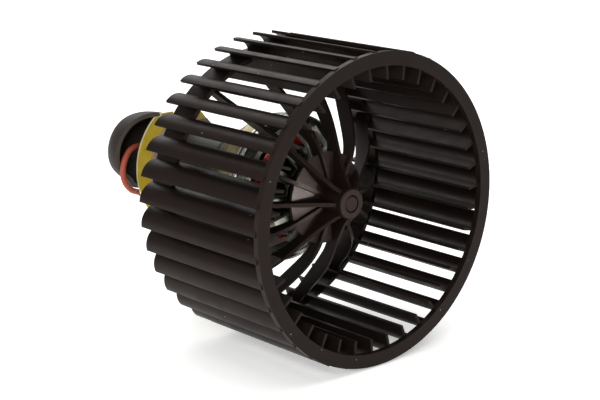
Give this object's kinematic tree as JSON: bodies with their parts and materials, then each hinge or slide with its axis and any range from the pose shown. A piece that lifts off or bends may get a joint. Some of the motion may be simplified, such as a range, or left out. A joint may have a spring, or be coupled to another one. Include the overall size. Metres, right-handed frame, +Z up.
{
  "type": "car cabin blower motor",
  "caption": "Squirrel-cage blower wheel on a small permanent-magnet motor, with mounting plate, cooling-air hood and a short lead.",
  "frame": {"origin": "centre of the mounting plate's back face, on the shaft's axis", "axes": "+X along the shaft towards the wheel's mouth, +Z up across the plate's flat top"},
  "size_m": [0.169, 0.151, 0.1506],
  "materials": {
    "wheel_plastic": "injection moulded, satin",
    "ground_steel": "ground",
    "lamination_steel": "stamped, dull",
    "red_enamelled_copper": "enamelled",
    "insulating_fibre": "pressed fibre",
    "black_phenolic": "moulded",
    "copper": "turned",
    "yellow_zinc": "yellow passivated zinc",
    "tan_gasket": "matt",
    "zinc_screw": "zinc plated",
    "black_moulding": "moulded, fine grain",
    "red_insulation": "satin",
    "tinned_brass": "tinned",
    "sintered_bronze": "porous, oiled",
    "bright_steel": "bright",
    "brass_strip": "rolled",
    "beige_zinc": "zinc plated, dulled",
    "ferrite": "sintered",
    "grey_cap": "moulded",
    "carbon": "pressed carbon"
  },
  "bodies": {
    "housing": {"mounting_plate": "yellow_zinc", "plate_gasket": "tan_gasket", "plate_screws": "zinc_screw", "cooling_hood": "black_moulding", "hood_screws": "zinc_screw", "lead": "red_insulation", "lead_terminal": "tinned_brass", "terminal_rivet": "tinned_brass", "brush_housing": "black_moulding", "terminal_blades": "tinned_brass", "can_screws": "zinc_screw", "rear_bearing": "sintered_bronze", "rear_bearing_retainer": "bright_steel", "brush_tube_upper": "brass_strip", "brush_tube_lower": "brass_strip", "brush_spring_upper": "bright_steel", "brush_spring_lower": "bright_steel", "motor_can": "beige_zinc", "flux_ring": "lamination_steel", "magnet_left": "ferrite", "magnet_right": "ferrite", "magnet_clip_upper": "bright_steel", "magnet_clip_lower": "bright_steel", "joint_ring": "bright_steel", "front_cap": "grey_cap", "front_bearing": "sintered_bronze", "front_bearing_retainer": "bright_steel"},
    "rotor": {"fan_wheel": "wheel_plastic", "rotor_shaft": "ground_steel", "armature_core": "lamination_steel", "armature_winding": "red_enamelled_copper", "insulator_front": "insulating_fibre", "insulator_rear": "insulating_fibre", "commutator_core": "black_phenolic", "commutator_bars": "copper", "thrust_washer_front": "ground_steel", "thrust_washer_rear": "ground_steel"},
    "upper_brush": {"brush_upper": "carbon"},
    "lower_brush": {"brush_lower": "carbon"}
  },
  "joints": [
    {"name": "wheel_spin", "type": "hinge", "parent": "housing", "child": "rotor", "pos_m": [0, 0, 0], "axis": [1, 0, 0], "continuous": true},
    {"name": "upper_brush_slide", "type": "slide", "parent": "housing", "child": "upper_brush", "axis": [0, 0, 1], "range_m": [0, 0.002], "stiffness_N_per_m": 250, "springref_m": -0.004, "deforming": ["brush_spring_upper"]},
    {"name": "lower_brush_slide", "type": "slide", "parent": "housing", "child": "lower_brush", "axis": [0, 0, -1], "range_m": [0, 0.002], "stiffness_N_per_m": 250, "springref_m": -0.004, "deforming": ["brush_spring_lower"]}
  ]
}
